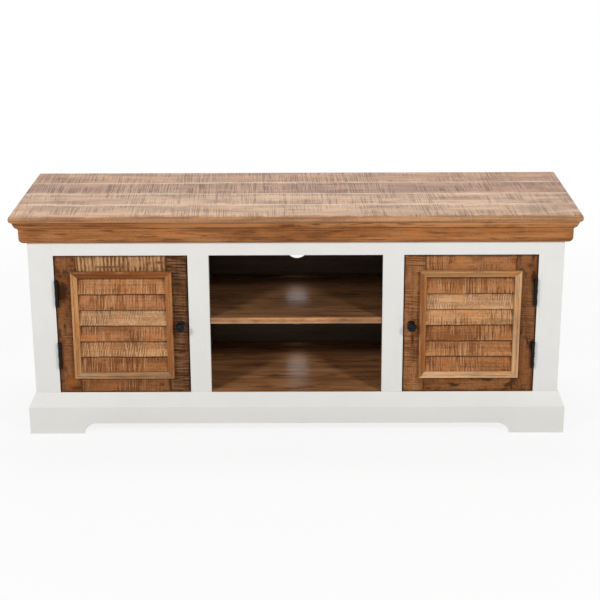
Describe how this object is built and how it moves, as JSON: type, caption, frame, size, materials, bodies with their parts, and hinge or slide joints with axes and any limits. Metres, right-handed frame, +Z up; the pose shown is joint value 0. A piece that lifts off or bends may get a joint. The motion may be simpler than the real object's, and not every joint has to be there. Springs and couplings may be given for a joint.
{
  "type": "tv stand",
  "caption": "Low television stand: wooden top and cornice, white case on bracket feet, louvred wooden doors on butt hinges beside an open bay with a shelf.",
  "frame": {"origin": "on the floor, under the middle of the top", "axes": "+X to the right along the length, +Y from the front to the back, +Z up"},
  "size_m": [1.4, 0.45, 0.58],
  "materials": {
    "top_wood": "pale rough-sawn hardwood boards with a clear satin lacquer",
    "cornice_wood": "planed hardwood moulding, warm brown, satin lacquer",
    "white_paint": "wood painted matt white",
    "interior_wood": "brown stained wood, satin lacquer",
    "back_board": "brown stained plywood",
    "door_wood": "rough-sawn brown hardwood, satin lacquer",
    "slat_wood": "rough-sawn mid-brown hardwood, satin lacquer",
    "moulding_wood": "planed orange-brown hardwood, satin lacquer",
    "black_iron": "black powder-coated steel",
    "screw_steel": "blackened steel screws",
    "strike_steel": "bright zinc-plated steel",
    "catch_plastic": "brown moulded plastic"
  },
  "bodies": {
    "cabinet": {"back_panel": "back_board", "back_rail": "interior_wood", "bottom_panel": "interior_wood", "centre_shelf": "interior_wood", "corner_blocks": "white_paint", "cornice_front": "cornice_wood", "cornice_left": "cornice_wood", "cornice_right": "cornice_wood", "face_bottom_rail": "white_paint", "face_mid_stile_left": "white_paint", "face_mid_stile_right": "white_paint", "face_stile_left": "white_paint", "face_stile_right": "white_paint", "face_top_rail": "white_paint", "frame_screws": "screw_steel", "hinge_frame_leaves_left": "black_iron", "hinge_frame_leaves_right": "black_iron", "hinge_pins": "black_iron", "magnetic_catches": "catch_plastic", "partition_left": "interior_wood", "partition_right": "interior_wood", "plinth_front": "white_paint", "plinth_left": "white_paint", "plinth_right": "white_paint", "side_panel_left": "white_paint", "side_panel_right": "white_paint", "top_board_1": "top_wood", "top_board_2": "top_wood", "top_board_3": "top_wood", "top_board_4": "top_wood"},
    "door_left": {"door_left_bottom_rail": "door_wood", "door_left_hinge_leaves": "black_iron", "door_left_hinge_stile": "door_wood", "door_left_knob": "black_iron", "door_left_lock_stile": "door_wood", "door_left_moulding": "moulding_wood", "door_left_screws": "screw_steel", "door_left_slat_1": "slat_wood", "door_left_slat_2": "slat_wood", "door_left_slat_3": "slat_wood", "door_left_slat_4": "slat_wood", "door_left_slat_5": "slat_wood", "door_left_slat_6": "slat_wood", "door_left_strike_plate": "strike_steel", "door_left_top_rail": "door_wood"},
    "door_right": {"door_right_bottom_rail": "door_wood", "door_right_hinge_leaves": "black_iron", "door_right_hinge_stile": "door_wood", "door_right_knob": "black_iron", "door_right_lock_stile": "door_wood", "door_right_moulding": "moulding_wood", "door_right_screws": "screw_steel", "door_right_slat_1": "slat_wood", "door_right_slat_2": "slat_wood", "door_right_slat_3": "slat_wood", "door_right_slat_4": "slat_wood", "door_right_slat_5": "slat_wood", "door_right_slat_6": "slat_wood", "door_right_strike_plate": "strike_steel", "door_right_top_rail": "door_wood"}
  },
  "joints": [
    {"name": "door_left_hinge", "type": "hinge", "parent": "cabinet", "child": "door_left", "pos_m": [-0.59675, -0.19425, 0.28825], "axis": [0, 0, -1], "range_deg": [0, 165]},
    {"name": "door_right_hinge", "type": "hinge", "parent": "cabinet", "child": "door_right", "pos_m": [0.59675, -0.19425, 0.28825], "axis": [0, 0, 1], "range_deg": [0, 165]}
  ]
}
